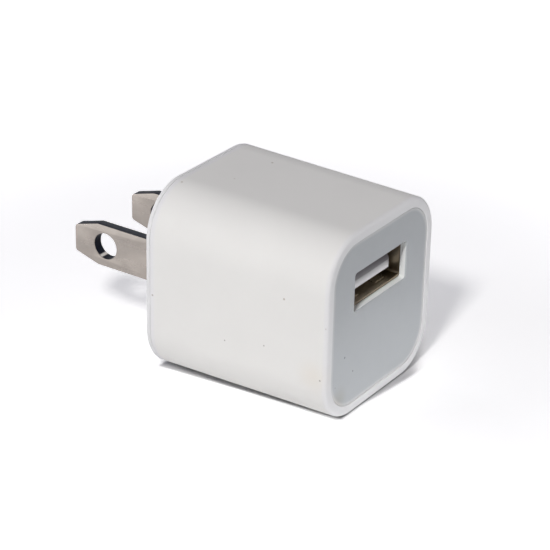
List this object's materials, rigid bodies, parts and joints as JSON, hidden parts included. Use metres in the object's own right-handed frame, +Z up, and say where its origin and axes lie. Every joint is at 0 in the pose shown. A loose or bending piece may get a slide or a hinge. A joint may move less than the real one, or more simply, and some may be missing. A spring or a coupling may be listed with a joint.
{
  "type": "usb wall charger",
  "caption": "Compact rounded-cube USB wall charger: white drafted sleeve, inset front plate with a type A port and sprung contacts, flat mains blades.",
  "frame": {"origin": "centre of the wall face, midway between the two blades", "axes": "+Y out of the wall face along the blades, +Z up, +X to the right for a viewer who faces the USB port"},
  "size_m": [0.0266, 0.0452, 0.027],
  "materials": {
    "casing": "satin white moulding",
    "plate": "matt pale grey moulding",
    "inner_plastic": "plain moulding",
    "nickel": "nickel plate, satin",
    "clip_brass": "plain",
    "shell_steel": "bright plated sheet",
    "tongue": "pale moulding",
    "gold": "gold plate",
    "board": "paper laminate",
    "ferrite": "matt",
    "bobbin_black": "matt",
    "copper": "enamelled wire",
    "tape": "film",
    "tinned": "tinned",
    "can": "drawn",
    "sleeve_green": "shrunk film",
    "sleeve_blue": "shrunk film",
    "bung": "matt",
    "roll": "wound foil and paper",
    "resistor": "lacquered",
    "disc": "dipped coat",
    "black_mould": "matt",
    "chip_tan": "matt"
  },
  "bodies": {
    "charger": {"outer_shell": "casing", "front_plate": "plate", "rear_cover": "casing", "blade_retainer": "inner_plastic", "blade_left": "nickel", "blade_right": "nickel", "blade_clips": "clip_brass", "main_board": "board", "usb_shell": "shell_steel", "usb_insulator": "tongue", "contact_tails": "gold", "core_left": "ferrite", "core_right": "ferrite", "bobbin": "bobbin_black", "primary_winding": "copper", "secondary_winding": "copper", "winding_tape": "tape", "transformer_pins": "tinned", "bulk_top_can": "can", "bulk_top_sleeve": "sleeve_green", "bulk_top_bung": "bung", "bulk_top_roll": "roll", "bulk_top_leads": "tinned", "bulk_low_can": "can", "bulk_low_sleeve": "sleeve_green", "bulk_low_bung": "bung", "bulk_low_roll": "roll", "bulk_low_leads": "tinned", "output_can": "can", "output_sleeve": "sleeve_blue", "output_bung": "bung", "output_roll": "roll", "output_leads": "tinned", "fuse_resistor": "resistor", "fuse_leads": "tinned", "choke_core": "ferrite", "choke_winding": "copper", "choke_leads": "tinned", "safety_capacitor": "disc", "safety_leads": "tinned", "rectifier_diodes": "black_mould", "rectifier_terminals": "tinned", "output_diode": "black_mould", "output_diode_terminals": "tinned", "controller": "black_mould", "controller_leads": "tinned", "chip_resistors": "black_mould", "chip_capacitors": "chip_tan", "chip_terminals": "tinned"},
    "contact_spring_1_beam": {"contact_spring_1": "gold"},
    "contact_spring_2_beam": {"contact_spring_2": "gold"},
    "contact_spring_3_beam": {"contact_spring_3": "gold"},
    "contact_spring_4_beam": {"contact_spring_4": "gold"},
    "latch_top_left_beam": {"latch_top_left": "shell_steel"},
    "latch_top_right_beam": {"latch_top_right": "shell_steel"},
    "latch_bottom_left_beam": {"latch_bottom_left": "shell_steel"},
    "latch_bottom_right_beam": {"latch_bottom_right": "shell_steel"}
  },
  "joints": [
    {"name": "contact_1_flex", "type": "hinge", "parent": "charger", "child": "contact_spring_1_beam", "pos_m": [-0.0035, -0.01805, 0.00407], "axis": [1, 0, 0], "range_deg": [0, 3.9], "stiffness_Nm_per_rad": 0.07},
    {"name": "contact_2_flex", "type": "hinge", "parent": "charger", "child": "contact_spring_2_beam", "pos_m": [-0.001, -0.01805, 0.00407], "axis": [1, 0, 0], "range_deg": [0, 3.9], "stiffness_Nm_per_rad": 0.07},
    {"name": "contact_3_flex", "type": "hinge", "parent": "charger", "child": "contact_spring_3_beam", "pos_m": [0.001, -0.01805, 0.00407], "axis": [1, 0, 0], "range_deg": [0, 3.9], "stiffness_Nm_per_rad": 0.07},
    {"name": "contact_4_flex", "type": "hinge", "parent": "charger", "child": "contact_spring_4_beam", "pos_m": [0.0035, -0.01805, 0.00407], "axis": [1, 0, 0], "range_deg": [0, 3.9], "stiffness_Nm_per_rad": 0.07},
    {"name": "latch_top_left_flex", "type": "hinge", "parent": "charger", "child": "latch_top_left_beam", "pos_m": [-0.0031, -0.026, 0.00731], "axis": [1, 0, 0], "range_deg": [0, 5], "stiffness_Nm_per_rad": 0.14},
    {"name": "latch_top_right_flex", "type": "hinge", "parent": "charger", "child": "latch_top_right_beam", "pos_m": [0.0031, -0.026, 0.00731], "axis": [1, 0, 0], "range_deg": [0, 5], "stiffness_Nm_per_rad": 0.14},
    {"name": "latch_bottom_left_flex", "type": "hinge", "parent": "charger", "child": "latch_bottom_left_beam", "pos_m": [-0.0031, -0.026, 0.00189], "axis": [-1, 0, 0], "range_deg": [0, 5], "stiffness_Nm_per_rad": 0.14},
    {"name": "latch_bottom_right_flex", "type": "hinge", "parent": "charger", "child": "latch_bottom_right_beam", "pos_m": [0.0031, -0.026, 0.00189], "axis": [-1, 0, 0], "range_deg": [0, 5], "stiffness_Nm_per_rad": 0.14}
  ]
}
